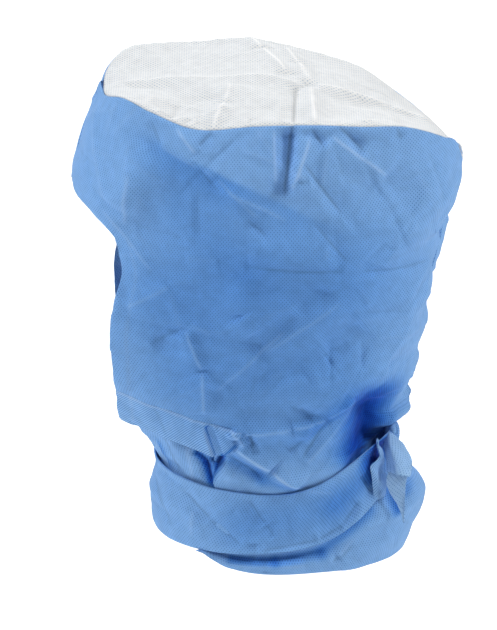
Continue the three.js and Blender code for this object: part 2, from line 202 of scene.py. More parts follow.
def body(angle, down, side):
    """Points of the body and its outward directions, which on the centre line have no sideways part."""
    round_step = smooth_body(angle + 0.01, down, side) - smooth_body(angle - 0.01, down, side)
    above = np.maximum(down - 0.5, 0)
    fall = smooth_body(angle, down + 0.5, side) - smooth_body(angle, above, side)
    normal = np.cross(fall, round_step)
    normal[np.abs(np.sin(angle)) < 1e-6, 0] = 0
    return smooth_body(angle, down, side), unit(normal)


def line_share(a, b, a1, b1, a2, b2):
    """How far along a line each point lies, from 0 to 1, its distance from it, and its side, -1 to 1."""
    run_a = a2 - a1
    run_b = b2 - b1
    share = ((a - a1) * run_a + (b - b1) * run_b) / (run_a ** 2 + run_b ** 2)
    share = np.clip(share, 0, 1)
    off_a = a - a1 - run_a * share
    off_b = b - b1 - run_b * share
    side = np.tanh((off_a * run_b - off_b * run_a) / np.hypot(run_a, run_b) / 2)
    return share, np.hypot(off_a, off_b), side


def ends(row):
    """The two ends of a row's line: its first four columns."""
    return list(row.values())[:4]


def one_crease(share, away, wide, high, sharp):
    """Height and painted line of one crease: a ridge is paled, partly as whitened fibres and partly as
    painted highlight, and a valley is darkened with painted shade. A pressed crease has flat flanks that meet
    in an edge.
    """
    taper = 1 - (2 * share - 1) ** 6
    if not sharp:
        return np.stack([high * taper * bell(away, 0, wide), np.zeros_like(away)])
    flank = np.maximum(1 - (np.hypot(away, CREASE_EDGE) - CREASE_EDGE) / (1.25 * wide), 0) ** 1.3
    line = np.clip(high / FULL_LINE, -1, 1) * taper * bell(away, 0, CREASE_LINE)
    return np.stack([high * taper * flank, line])


def creases(rows, a, b):
    """Height and painted lines of a table of creases (pale ridges, painted shade in valleys), at points in
    the table's own plane.
    """
    total = np.zeros((2, len(a)))
    for row in rows:
        share, away, side = line_share(a, b, *ends(row))
        near = away < 3 * row["wide"]
        wide = row["wide"] * (1 + row.get("lean", 0) * side[near])
        total[:, near] += one_crease(share[near], away[near], wide, row["high"], row.get("sharp", 1))
    return total


def scattered_creases(a, b, draw, count, box, length, wide, high):
    """Small pressed creases at random places and directions, from a seeded draw."""
    total = np.zeros((2, len(a)))
    for _ in range(count):
        middle_a = draw.uniform(box[0], box[1])
        middle_b = draw.uniform(box[2], box[3])
        turn = draw.uniform(0, math.pi)
        half = draw.uniform(*length) / 2
        breadth = draw.uniform(*wide)
        rise = draw.uniform(*high) * draw.choice((-1, 1))
        run_a = half * math.cos(turn)
        run_b = half * math.sin(turn)
        near = np.hypot(a - middle_a, b - middle_b) < half + 2 * breadth
        share, away, side = line_share(
            a[near], b[near], middle_a - run_a, middle_b - run_b, middle_a + run_a, middle_b + run_b
        )
        height, line = one_crease(share, away, breadth * (1 + 0.5 * side), rise, 1)
        total[:, near] += (height, 0.5 * line)
    return total


def gather_shade(rows, a, b):
    """Strength of the painted shade at each point, from 0 to 1, where folds lie deep: the material paints a
    deeper blue there.
    """
    open_share = np.ones(len(a))
    for row in rows:
        away, side = line_share(a, b, *ends(row))[1:]
        edge = row.get("edge", 0)
        flank = np.clip(0.5 + 0.8 * edge * side, 0, 1) if edge else 1
        open_share *= 1 - row["deep"] * flank * bell(away, 0, row["wide"])
    return 1 - open_share


def waves(a, b, draw, count, length, high):
    """A soft undulation: a few sine waves of random directions, from a seeded draw."""
    height = np.zeros_like(a)
    for _ in range(count):
        turn = draw.uniform(0, 2 * math.pi)
        pitch = draw.uniform(*length)
        along = a * math.cos(turn) + b * math.sin(turn)
        height += high / math.sqrt(count) * np.sin(2 * math.pi * along / pitch + draw.uniform(0, 6.28))
    return height


def seam_wave(distance, draw_seed):
    """Small waves of a sewn edge: spacing changes from pucker to pucker."""
    draw = np.random.default_rng(draw_seed)
    wave = np.zeros_like(distance)
    for pitch in (7.3, 12.1, 23.7):
        wave += np.sin(2 * math.pi * distance / pitch + draw.uniform(0, 6.28)) / 3
    return wave


# ---- meshes


def grid_faces(vertex, present=None):
    """Four-cornered faces of a grid, for the cells that are cloth. They face outward."""
    if present is None:
        present = np.ones((vertex.shape[0] - 1, vertex.shape[1] - 1), bool)
    corners = (vertex[:-1, :-1], vertex[:-1, 1:], vertex[1:, 1:], vertex[1:, :-1])
    return np.stack([corner[present] for corner in corners], axis=1)


def numbered(points):
    """Number of each vertex of a grid of points."""
    shape = points.shape[:2]
    return np.arange(shape[0] * shape[1]).reshape(shape)


def rolled(edge, normal, *steps):
    """Rows of a rolled edge. Each step is how deep the row lies behind the edge, and how far up."""
    return [edge - normal * deep + (0, 0, up) for deep, up in steps]


def cloth_piece(name, node, points, faces, uv, marks=None, thick=BODY_THICK, rim_only=False):
    """A sheet of cloth as a mesh in metres, with its flat pattern in millimetres as its UV map."""
    points = points.reshape(-1, 3)
    used = np.unique(faces)
    place = np.full(len(points), -1)
    place[used] = np.arange(len(used))
    faces = place[faces]
    mesh = bpy.data.meshes.new(name)
    mesh.from_pydata((points[used] * MM).tolist(), [], faces.tolist())
    layer = mesh.uv_layers.new(name="flat_pattern")
    layer.data.foreach_set("uv", uv.reshape(-1, 2)[used][faces.ravel()].astype(np.float32).ravel())
    mesh.polygons.foreach_set("use_smooth", np.ones(len(faces), bool))
    marks = np.zeros((2, len(points))) if marks is None else marks.reshape(2, -1)
    # Painted light and shade: the crease lines (pale ridges, dark valleys) and the painted shade where folds
    # lie deep
    for kind, values in zip(("crease_line", "gather_depth"), marks):
        mark = mesh.attributes.new(kind, "FLOAT", "POINT")
        mark.data.foreach_set("value", values[used].astype(np.float32))
    piece = bpy.data.objects.new(name, mesh)
    bpy.context.scene.collection.objects.link(piece)
    solid = piece.modifiers.new("cloth thickness", "SOLIDIFY")
    solid.thickness = thick * MM
    solid.offset = -1
    solid.use_rim_only = rim_only
    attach(piece, "root")
    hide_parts(node)
    return piece


def mesh_normals(points, faces):
    """Average outward direction at each vertex."""
    a, b, c, d = (points[faces[:, k]] for k in range(4))
    face_normal = np.cross(c - a, d - b)
    normal = np.zeros_like(points)
    for k in range(4):
        np.add.at(normal, faces[:, k], face_normal)
    return unit(normal)


def on_side(side, points, faces):
    """A sheet that is worked out on the left, put on its own side of the centre plane."""
    return (points, faces) if side == "left" else (points * (-1, 1, 1), faces[:, ::-1])


def flat_pattern(points):
    """UV in millimetres of a grid of points: lengths along its rows from the middle column, and down."""
    across = np.linalg.norm(np.diff(points, axis=0), axis=2)
    u = np.concatenate([np.zeros((1, points.shape[1])), np.cumsum(across, axis=0)])
    u -= u[points.shape[0] // 2]
    down = np.linalg.norm(np.diff(points, axis=1), axis=2)
    v = np.concatenate([np.zeros((points.shape[0], 1)), np.cumsum(down, axis=1)], axis=1)
    return np.stack([u, -v], axis=2)


# ---- side panels

PANEL_COLUMNS = {"forehead": 50, "jaw": 62, "back": 208}
PANEL_ROWS = {"forehead": 62, "cheek": 114, "hem": 18, "neck": 92}
PRESSED = 1.3  # how strongly the creases of the table are pressed in
CHEEK_HEM = 6.5  # width of the narrow hem round the face
EAR_DOWN = 105.0  # where a panel's flat pattern has its full length
SEAM_TUCK = {"deep": 0.9, "fall": 0.8}
DRAWN_IN = {"deep": 3.0, "down": 286, "tall": 5}  # just below the tie
UNDER_TIE = {"starts": 234, "full": 244, "ends": 284, "clear": 292}  # where the tie holds the cloth flat
PLEAT = {"turn": math.radians(58), "out": 3.4, "wide": 0.08}
SKIRT_CORNER = {"forward": 6.5, "up": 8.5}
FLANGE = (5.0, 1.0)  # seam allowance turned in at the centre front and the centre back
FLANGE_END = 0.03
FLANGE_SINK = 1.1  # fall of the front allowance under the crown, for each millimetre of its depth

# Main folds of the side panels, as lines seen from the side
FOLDS = table(
    "y1 z1 y2 z2 wide high side name",
    (-62, -37, -84, -61, 12, 2.5, "left", "temple ridge"),
    (20, -5, 15, -47, 10, -3, "left", "crown valley"),
    (71, -186, 73, -219, 14, -8, "left", "nape hollow"),
    (68, -193, 74, -219, 9, -7, "right", "nape hollow"),
    (38, -173, 66, -167, 14, 4, "left", "nape arch"),
    (-10, -125, 100, -119, 10, 2, "left", "ear fold"),
    (-62, -176, 22, -141, 9, 1.6, "left", "cheek fold upper"),
    (-34, -190, 36, -158, 8, 1.4, "left", "cheek fold lower"),
    (113, -92, 108, -112, 10, 5, "right", "back bulge"),
)

# Where the cloth over the ear is fullest, measured down from the seam. Above this line it slopes outward.
FULLNESS = table(
    "y down",
    (-91, 8), (-60, 16), (-40, 22), (-22, 32), (0, 54), (20, 64), (50, 66), (80, 60), (110, 40), (125, 20),
)
FULL = {"slope": 0.165, "end": 150, "reach": 78}

# Creases of the left panel, as lines seen from the side. 'sharp' is 0 for a soft roll of the cloth, and
# 1 or left out for a pressed crease. 'lean' makes one flank wider: 1 is the right of the line's run.
LEFT_CREASES = table(
    "y1 z1 y2 z2 wide high sharp lean",
    (-61, -6, -55, -19, 6, -1.2),
    (-55, -19, -22, -35, 10, 1.4, 1, 0.4),
    (-22, -35, 2, -58, 10, 1.4, 1, 0.4),
    (-36, -26, -20, -44, 8, -1.4),
    (-61, -20, -80, -60, 13, 3.4, 0),
    (-25, -9, -33, -18, 5, -2),
    (-46, -8, -34, -22, 8, 1.8),
    (22, -2, 17, -46, 6, -3.6, 1, 0.4),
    (11, -6, 12, -40, 5, 1.8),
    (32, -12, 21, -42, 9, 2.6),
    (28, -26, 50, -58, 8, -2.4, 1, -0.4),
    (21, -38, 31, -36, 5, -1.4),
    (34, -62, 52, -86, 9, -1.6, 1, 0.3),
    (-70, -36, -76, -70, 9, 1.6),
    (-76, -120, -50, -104, 10, 1.3, 1, 0.4),
    (-62, -142, -40, -128, 9, -1.2),
    (-88, -62, -60, -96, 10, 1.2, 1, 0.3),
    (33, -7, 40, -18, 6, -2.2),
    (48, -5, 64, -22, 7, -2.4, 1, 0.3),
    (44, -11, 78, -39, 10, 2.4),
    (83, -10, 86, -18, 4, -1.5),
    (48, -58, 72, -43, 11, -2, 0),
    (72, -43, 96, -59, 11, -1.8, 0),
    (84, -71, 120, -57, 14, 2.2, 0),
    (-6, -88, 50, -92, 9, -1.5, 1, -0.5),
    (58, -93, 103, -101, 7, -1.2, 1, -0.3),
    (-4, -82, 46, -77, 13, 1.8, 0),
    (0, -146, 24, -117, 9, -2.4, 0),
    (24, -117, 42, -103, 8, -1.8, 0),
    (6, -144, 48, -111, 9, 1.2),
    (40, -142, 62, -128, 12, -2.2, 0),
    (-41, -131, -31, -157, 8, 2, 1, 0.4),
    (-31, -157, -30, -186, 8, 2.2, 1, 0.4),
    (-24, -171, 18, -129, 12, 1.3, 1, -0.3),
    (-16, -42, 18, -60, 10, 1.8),
    (-4, -60, 8, -70, 4, -1),
    (-7, -94, -8, -119, 9, 2.2, 0),
    (-8, -119, 0, -131, 8, 2, 0),
    (97, -98, 84, -160, 10, 2.2, 0),
    (32, -160, 44, -153, 9, 1.6, 0),
    (44, -153, 62, -154, 9, 1.8, 0),
    (62, -154, 78, -162, 9, 1.8, 0),
    (78, -162, 86, -186, 8, 1.8, 0),
    (97, -168, 91, -193, 6, 2),
    (60, -186, 30, -221, 6, 1.3, 1, 0.3),
    (27, -181, 37, -195, 4, -0.9),
    (-12, -200, 22, -195, 7, 2.2),
    (22, -195, 43, -191, 7, 2.2),
    (43, -191, 60, -180, 7, 2.2),
    (-20, -215, -25, -235, 3, -5),
    (-12, -208, 10, -224, 8, 3.4, 1, -0.5),
    (10, -224, 27, -236, 8, 3.2, 1, -0.5),
    (-16, -215, 4, -231, 7, -2),
    (-4, -199, -1, -207, 4, -1.6),
    (20, -211, 30, -204, 6, -1.6),
    (28, -217, 43, -192, 7, -1.8),
    (-14, -196, -6, -206, 4, 2.2),
    (-13, -205, -5, -197, 4, -2),
    (-3, -196, -1, -211, 4, -1.5),
    (84, -202, 86, -224, 12, 4, 0),
    (-35, -277, -27, -285, 4, -2.6),
    (-28, -283, 0, -281, 4, -2.2),
    (0, -281, 30, -277, 4, -1.8),
    (-20, -287, 30, -285, 5, 1.6),
    (50, -283, 62, -271, 5, 2),
    (62, -271, 72, -252, 5, 2),
    (46, -286, 60, -276, 5, -1.8),
    (88, -262, 100, -285, 7, -1.4),
)

# Deep hollows at the nape, where the tie draws the cloth in. They move it sideways, toward the middle.
LEFT_HOLLOWS = table(
    "y1 z1 y2 z2 wide high sharp lean",
    (72, -187, 66, -222, 16, -10, 0, 0.4),
    (71, -192, 66, -222, 6, -3, 0),
)

# Painted shade, a deeper blue, where the cloth lies deep in a gather: at the nape, in the pleat, where the
# skirt leaves the tie, and in broad soft patches and along folds over the side.
# 'edge' is 1 when only the flank on the right of the line's run is deep, -1 for the left, else left out.
LEFT_GATHER_SHADE = table(
    "y1 z1 y2 z2 wide deep edge",
    (73, -188, 65, -218, 6, 0.95, 1),
    (73, -188, 65, -218, 12, 0.8, -1),
    (66, -188, 62, -214, 13, 0.58),
    (60, -184, 39, -199, 12, 0.2, 1),
    (58, -224, 66, -214, 5, 0.5),
    (-50, -20, -42.6, -24.2, 16, 0.05, 1),
    (-42.6, -24.2, -16, -35, 20, 0.1, 1),
    (-16, -35, 21, -53, 20, 0.08, 1),
    (-45, -56, -6, -88, 18, 0.08),
    (-45, -112, 50, -100, 36, 0.14),
    (-30, -165, 40, -160, 32, 0.12),
    (-10, -200, 30, -205, 16, 0.08),
    (-19, -215, -25, -234, 1.5, 0.8),
    (-14, -218, 4, -231, 4, 0.16),
    (2, -228, 24, -237, 4, 0.14),
    (-14, -284, 12, -283, 2.5, 0.3),
    (12, -283, 40, -278, 3, 0.25),
    (40, -278, 68, -257, 4, 0.25),
    (79, -242, 87.5, -259, 4, 0.5, 1),
    (90, -243, 91, -252, 3, 0.3),
)

# How far the centre back stands out: the tabs of the seam allowance at the nape, then the fall of the
# back. 'tall' is how far each reaches up and down, and 'round' how far round the body, in radians.
BACK_LINE = table(
    "z high tall round",
    (-198, 3.2, 4, 0.05),
    (-206, 3.5, 5, 0.3),
    (-215, 3, 6, 0.3),
    (-58, -2, 14, 0.6),
    (-80, -7.4, 14, 0.6),
    (-118, -3.2, 24, 0.5),
    (-183, -3.6, 9, 0.4),
    (-250, 2.6, 8, 0.4),
)


def cheek_edge(down):
    """Angle of a panel's front edge, in degrees."""
    return read(CHEEK_EDGE, "down", "degrees", down)


def pleat_place():
    """Where the pleat crosses the jaw, as a share of the way from the cheek edge to the centre back."""
    jaw_edge = CHEEK_EDGE[-1]["degrees"]
    return (PLEAT_EDGE[0]["degrees"] - jaw_edge) / (180 - jaw_edge)


def panel_grid():
    """Angle and place down the cloth of each vertex of a side panel, and which cells are cloth."""
    forehead, jaw, back = PANEL_COLUMNS.values()
    pleat = forehead + jaw
    marks = np.cumsum([0, *PANEL_ROWS.values()])
    brow_row, _, jaw_row, rows = marks[1:]
    c, r = np.meshgrid(np.arange(pleat + back + 1.0), np.arange(rows + 1.0), indexing="ij")
    temple = np.minimum(c / forehead, 1)
    brow = BROW["centre"] + (BROW["temple"] - BROW["centre"]) * temple ** BROW["square"]
    down = np.interp(r, marks, (0, 0, HEM_DOWN, JAW_DOWN, SKIRT_DOWN))
    down += brow * np.interp(r, marks[:3], (0, 1, 0))
    edge = cheek_edge(down)
    low = read(PLEAT_EDGE, "down", "degrees", down)
    behind = (c - pleat) / back
    share = pleat_place()
    share = np.where(behind > 0, share + (1 - share) * behind, share * (c - forehead) / jaw)
    degrees = np.where(c < forehead, edge * c / forehead, edge + (180 - edge) * share)
    degrees = np.where(down > JAW_DOWN, low + (180 - low) * behind, degrees)
    cell_c, cell_r = np.meshgrid(np.arange(pleat + back), np.arange(rows), indexing="ij")
    present = (cell_r < brow_row) | ((cell_r < jaw_row) & (cell_c >= forehead)) | (cell_c >= pleat)
    return np.radians(degrees), down, present


def main_folds(y, z, side):
    """Height of the main folds, with the same rounded shape as in the construction."""
    own = [fold for fold in FOLDS if fold["side"] == side]
    return sum(fold["high"] * bell(line_share(y, z, *ends(fold))[1], 0, fold["wide"]) for fold in own)


def panel_relief(angle, down, base, side):
    """How far the cloth of a side panel stands out, its painted crease lines of light and shade, and the
    strength of its painted shade where folds lie deep.
    """
    x, y, z = base.T
    around = (angle - math.pi / 2) * EAR_RADIUS
    own_seed = SEED + (side == "right")
    draw = np.random.default_rng(own_seed)
    under_tie = ramp(down, UNDER_TIE["starts"], UNDER_TIE["full"])
    under_tie *= ramp(down, UNDER_TIE["clear"], UNDER_TIE["ends"])
    relief = np.zeros((3, len(y)))
    if side == "left":
        # Painted shade where folds lie deep, faded out near the centre line, and the creases with their
        # painted lines
        relief[2] = gather_shade(LEFT_GATHER_SHADE, y, z) * ramp(x, 5, 35)
        relief[:2] += PRESSED * creases(LEFT_CREASES, y, z) * (1 - under_tie)
        relief[1] *= ramp(x, 12, 37)
    relief[0] += main_folds(y, z, side)
    # The cloth over the ear slopes out from the seam to its fullest line, and in again below it
    ridge = read(FULLNESS, "y", "down", y)
    short = np.minimum(down / ridge, (FULL["end"] - down) / (FULL["end"] - ridge))
    relief[0] += FULL["slope"] * ridge * np.clip(short, 0, 1) * np.exp(-((y - AXIS_Y) / FULL["reach"]) ** 4)
    box = (-115, 120, 0, SKIRT_DOWN)
    rough = scattered_creases(around, down, draw, 230, box, (10, 55), (2.5, 8), (0.25, 1.2))
    if side == "right":
        rough += scattered_creases(around, down, draw, 46, box, (40, 100), (8, 16), (1.2, 3.0))
    rough[0] += waves(around, down, draw, 7, (28, 70), 0.9)
    relief[:2] += rough * (1 - 0.85 * under_tie) * (1 - 0.8 * relief[2])
    # Drawn in just below the tie, puckered along the crown seam, and tucked under at the seam itself
    relief[0] -= DRAWN_IN["deep"] * bell(down, DRAWN_IN["down"], DRAWN_IN["tall"]) + 0.5 * under_tie
    relief[0] += PUCKER["panel"] * seam_wave(around, own_seed) * np.exp(-down / PUCKER["fall"])
    relief[0] *= np.clip(down / 7, 0.08, 1)
    relief[0] -= SEAM_TUCK["deep"] * np.exp(-down / SEAM_TUCK["fall"])
    # The narrow hem round the face is one cloth higher, with a pale line where it ends: a painted highlight
    # along its edge
    from_edge = (np.degrees(angle) - cheek_edge(down)) * FACE_DEGREE
    strip = ramp(down, 70, 73) * (down < JAW_DOWN) * (from_edge > -1)
    relief[0] += 0.5 * strip * ramp(from_edge, CHEEK_HEM + 0.4, CHEEK_HEM - 0.4)
    relief[1] += 0.3 * strip * bell(from_edge, CHEEK_HEM, 0.7)
    return relief


def panel_pattern(angle, base, side):
    """UV of a side panel in millimetres: its length round at the ear, and its height. Bonds run straight."""
    turn = np.linspace(0, math.pi, 181)
    ear = smooth_body(turn, np.full(len(turn), EAR_DOWN), side)
    along = np.concatenate([[0], np.cumsum(np.linalg.norm(np.diff(ear, axis=0), axis=1))])
    return np.stack([np.interp(angle, turn, along) - along[90], base[:, 2]], axis=1)


def side_panel(side):
    """One side panel, from the crown seam to the neck hem, with its seam allowances."""
    grid_angle, grid_down, present = panel_grid()
    shape = grid_angle.shape
    angle = grid_angle.ravel()
    down = grid_down.ravel()
    base, normal = body(angle, down, side)
    relief = panel_relief(angle, down, base, side)
    calm = 0.35 + 0.65 * np.minimum(np.sin(angle) * 12, 1)  # calmer at the two centre seams
    points = base + normal * (relief[0] * calm)[:, None]
    if side == "left":
        sunk = creases(LEFT_HOLLOWS, base[:, 1], base[:, 2])[0] * ramp(down, 242, 234)
        points[:, 0] += sunk * ramp(points[:, 0], 2, 26)
    # The skirt's front corner swings forward and up, and the cloth turns out in the pleat
    free = ramp(down, 283, SKIRT_DOWN) * np.exp(-np.clip(angle - PLEAT["turn"], 0, 2) / 0.11)
    points[:, 1] -= SKIRT_CORNER["forward"] * free
    points[:, 2] += SKIRT_CORNER["up"] * free
    turned = ramp(down, 203, 209) * ramp(down, 240, 230) * bell(angle, PLEAT["turn"], PLEAT["wide"])
    points[:, 1] -= PLEAT["out"] * turned
    for part in BACK_LINE:
        stand = bell(points[:, 2], part["z"], part["tall"]) * bell(angle, math.pi, part["round"])
        points[:, 1] += part["high"] * stand
    peak = bell(angle * BROW_RADIUS, 0, PEAK["wide"]) * bell(down, 0, PEAK["down"])
    points[:, 1] -= PEAK["out"] * peak
    points[:, 2] += PEAK["up"] * peak
    points[:, 0] = np.maximum(points[:, 0], SEAM_HALF_GAP)
    points = points.reshape(shape + (3,))
    normal = normal.reshape(shape + (3,))
    sink = FLANGE_SINK * bell(grid_down[0], 0, PEAK["down"])[:, None] * (0, 0, 1)
    front = [points[0] - (normal[0] + sink) * depth for depth in FLANGE]
    back = [points[-1] - normal[-1] * depth for depth in reversed(FLANGE)]
    front[0][:, 0] = back[-1][:, 0] = FLANGE_END
    points = np.concatenate([front, points, back])
    uv = panel_pattern(angle, base, side).reshape(shape + (2,))
    uv_front = [uv[:1] - (depth, 0) for depth in FLANGE]
    uv = uv_front + [uv] + [uv[-1:] + (depth, 0) for depth in reversed(FLANGE)]
    marks = np.pad(relief[1:].reshape((2,) + shape), ((0, 0), (2, 2), (0, 0)), "edge")
    faces = grid_faces(numbered(points), np.pad(present, ((2, 2), (0, 0)), "edge"))
    points, faces = on_side(side, points, faces)
    return cloth_piece(
        f"panel_cloth_{side}", f"side_panel_{side}",
        points, faces, np.concatenate(uv), marks, rim_only=True,
    )


# ---- crown

CROWN_CELLS = 132
CROWN_DOME = 1.3
CROWN_LINE = 1.7  # how strongly the crown's creases are painted: paler ridges, partly whitened fibres and partly painted highlight, and darker valleys, painted shade

# Rings that turn the crown's edge down: how far in, how far down, and how far out in the flat cloth
CROWN_RINGS = table(
    "inset drop flat",
    (1.2, 0.3, 1.5), (1.6, 1.2, 3), (2.8, 2.6, 4.7), (4.4, 5, 7.7),
)

# Creases of the crown seen from above. The left seam is at +x.
CROWN_CREASES = table(
    "x1 y1 x2 y2 wide high sharp",
    (0, -88, 0, 35, 9, 1.6),
    (0, 35, -4, 80, 8, 2.2),
    (-4, 80, -2, 106, 7, 1.8),
    (14, -14, 40, -18, 6, 1.8),
    (40, -18, 74, -25, 6, 2.2),
    (-74, -4, -54, 4, 9, 2.4),
    (-54, 4, -12, 19, 9, 3),
    (-62, 18, -38, 26, 8, 2.2),
    (-38, 26, -5, 33, 8, 2.8),
    (6, 24, 74, 22, 7, -2.6),
    (4, 33, 74, 35, 6, 2.2),
    (-2, 60, 66, 48, 11, -1.8, 0),
    (-5, 32, 14, 22, 5, -1.8),
    (-4, 88, 58, 89, 8, -1.2, 0),
    (50, 78, 64, 62, 6, 1.2),
    (58, -66, 30, -60, 7, 1.3),
    (66, -50, 40, -46, 7, -1.2),
    (-60, -50, -20, -36, 10, -1.2, 0),
    (20, 52, 30, 84, 8, 1.2),
    (68, -62, 54, -55, 2.6, 1),
    (70, -57, 56, -50, 2.4, -0.8),
    (71, -52, 57, -44, 2.8, 1.1),
    (72, -46, 60, -38, 2.4, -0.9),
    (72, -40, 60, -34, 2.6, 1),
    (73, -4, 64, -2, 2.4, -0.8),
    (73, 52, 64, 50, 2.4, 0.9),
    (70, 68, 60, 65, 2.6, 0.9),
)


def crown_half_width(y):
    """Half the crown's width at a place along the head."""
    seam = SECTIONS[0]
    front = y < AXIS_Y
    reach = np.where(front, AXIS_Y - seam["y_front"], seam["y_back"] - AXIS_Y)
    power = np.where(front, seam["square_front"], seam["square_back"])
    share = np.minimum(np.abs(AXIS_Y - y) / reach, 1)
    return np.maximum(seam["half"] * (1 - share ** power) ** (1 / power), 1)


def crown_outline(turn):
    """Seam point at each angle round from the front, and its level outward direction."""
    angle = np.abs(turn)
    sign = np.where(turn < 0, -1.0, 1.0)
    seam = np.zeros((len(turn), 3))
    step = np.zeros((len(turn), 3))
    for side, own in (("left", turn >= 0), ("right", turn < 0)):
        seam[own] = section_points(angle[own], side)[0]
        step[own] = section_points(angle[own] + 0.01, side)[0] - section_points(angle[own] - 0.01, side)[0]
    out = np.stack([step[:, 1], -step[:, 0], np.zeros(len(turn))], axis=1)
    out[np.abs(np.sin(angle)) < 1e-6] = (0, 1, 0)
    out[angle < 1e-6] = (0, -1, 0)
    flip = np.stack([sign, np.ones(len(turn)), np.ones(len(turn))], axis=1)
    return seam * flip, unit(out) * flip


def crown_height(x, y):
    """Height of the crown's middle surface: it falls from its centre crease to its two seams."""
    crease, left, right = (read(CROWN, "y", name, y) for name in ("crease", "left", "right"))
    edge = np.where(x > 0, left, right) + LIP["up"]
    share = np.minimum(np.abs(x) / crown_half_width(y), 1) ** CROWN_DOME
    return crease + (edge - crease) * share


def crown_cloth():
    """The crown: a square grid drawn round onto its outline. Gives its points, its outline and its lines."""
    line = np.linspace(-1, 1, CROWN_CELLS + 1)
    s, t = np.meshgrid(line, line, indexing="ij")
    ring = np.maximum(np.abs(s), np.abs(t)).ravel()
    ahead = np.abs(t) >= np.abs(s)
    with np.errstate(divide="ignore", invalid="ignore"):
        lap = np.nan_to_num(np.where(ahead, s / np.abs(t), t / np.abs(s)))
    quarter = np.where(
        ahead,
        np.where(t < 0, lap, np.where(s >= 0, 4 - lap, -4 - lap)),
        np.where(s > 0, 2 + lap, -2 - lap),
    )
    turn = quarter.ravel() * math.pi / 4
    seam, out = crown_outline(turn)
    points = seam * ring[:, None]
    x, y = points[:, :2].T
    points[:, 2] = crown_height(x, y)
    draw = np.random.default_rng(SEED + 2)
    relief, lines = creases(CROWN_CREASES, x, y) + scattered_creases(
        x, y, draw, 60, (-75, 75, -90, 120), (10, 40), (3, 8), (0.15, 0.6)
    )
    relief += waves(x, y, draw, 6, (26, 60), 0.6)
    pucker = seam_wave(turn * CROWN_RADIUS, SEED) * np.exp(-(1 - ring) * CROWN_RADIUS / PUCKER["fall"])
    points[:, 2] += relief * np.minimum((1 - ring) * 10 + 0.25, 1) + PUCKER["crown"] * pucker
    points[:, 2] -= 0.5 * ramp(ring, 0.97, 1)
    points -= out * (LIP["inset"] * ramp(ring, 0.9, 1))[:, None]
    shape = s.shape + (3,)
    return points.reshape(shape), seam.reshape(shape), out.reshape(shape), lines


def crown_piece():
    """The crown with the rings that turn its edge down into the seam."""
    middle, seam, out, lines = crown_cloth()
    n = CROWN_CELLS
    border = [(i, 0) for i in range(n)] + [(n, j) for j in range(n)]
    border += [(i, n) for i in range(n, 0, -1)] + [(0, j) for j in range(n, 0, -1)]
    border = tuple(np.array(border).T)
    vertex = numbered(middle)
    points = [middle.reshape(-1, 3)]
    uv = [points[0][:, :2]]
    faces = [grid_faces(vertex)[:, (0, 3, 2, 1)]]
    last = vertex[border]
    for ring in CROWN_RINGS:
        level = seam[border] - out[border] * ring["inset"]
        level[:, 2] = seam[border][:, 2] - ring["drop"]
        own = sum(map(len, points)) + np.arange(len(last))
        points.append(level)
        uv.append(level[:, :2] + out[border][:, :2] * ring["flat"])
        faces.append(np.stack([last, own, np.roll(own, -1), np.roll(last, -1)], axis=1))
        last = own
    points = np.concatenate(points)
    marks = np.zeros((2, len(points)))
    marks[0, :len(lines)] = CROWN_LINE * lines
    return cloth_piece(
        "crown_cloth", "crown_panel",
        points, np.concatenate(faces), np.concatenate(uv), marks, thick=CROWN_THICK,
    )


# ---- jaw hems

# Where the left hem turns into the pleat
HEM_CREASES = table(
    "y1 z1 y2 z2 wide high",
    (-28, -194, -20, -218, 2.4, -5),
    (-31, -194, -23, -217, 4, 1.6),
    (-22, -196, -10, -203, 4, 1.4),
    (-60, -184, -52, -204, 6, -0.9),
    (-90, -176, -88, -196, 6, 0.8),
)
# Painted shade, a deeper blue, in the fold where the left hem turns into the pleat
HEM_GATHER_SHADE = table(
    "y1 z1 y2 z2 wide deep",
    (-28, -195, -20, -218, 1.5, 0.97),
    (-22, -218, -12, -207, 1.2, 0.4),
)

# The end of the hem is turned to a point that lies toward the nape
HEM_TIP = {"from": 1.06, "to": 1.3, "down": 193}
HEM_LIFT = {"out": 1.1, "stitched": 1.4, "fall": 0.07, "lower": 0.2, "tip": 0.9}


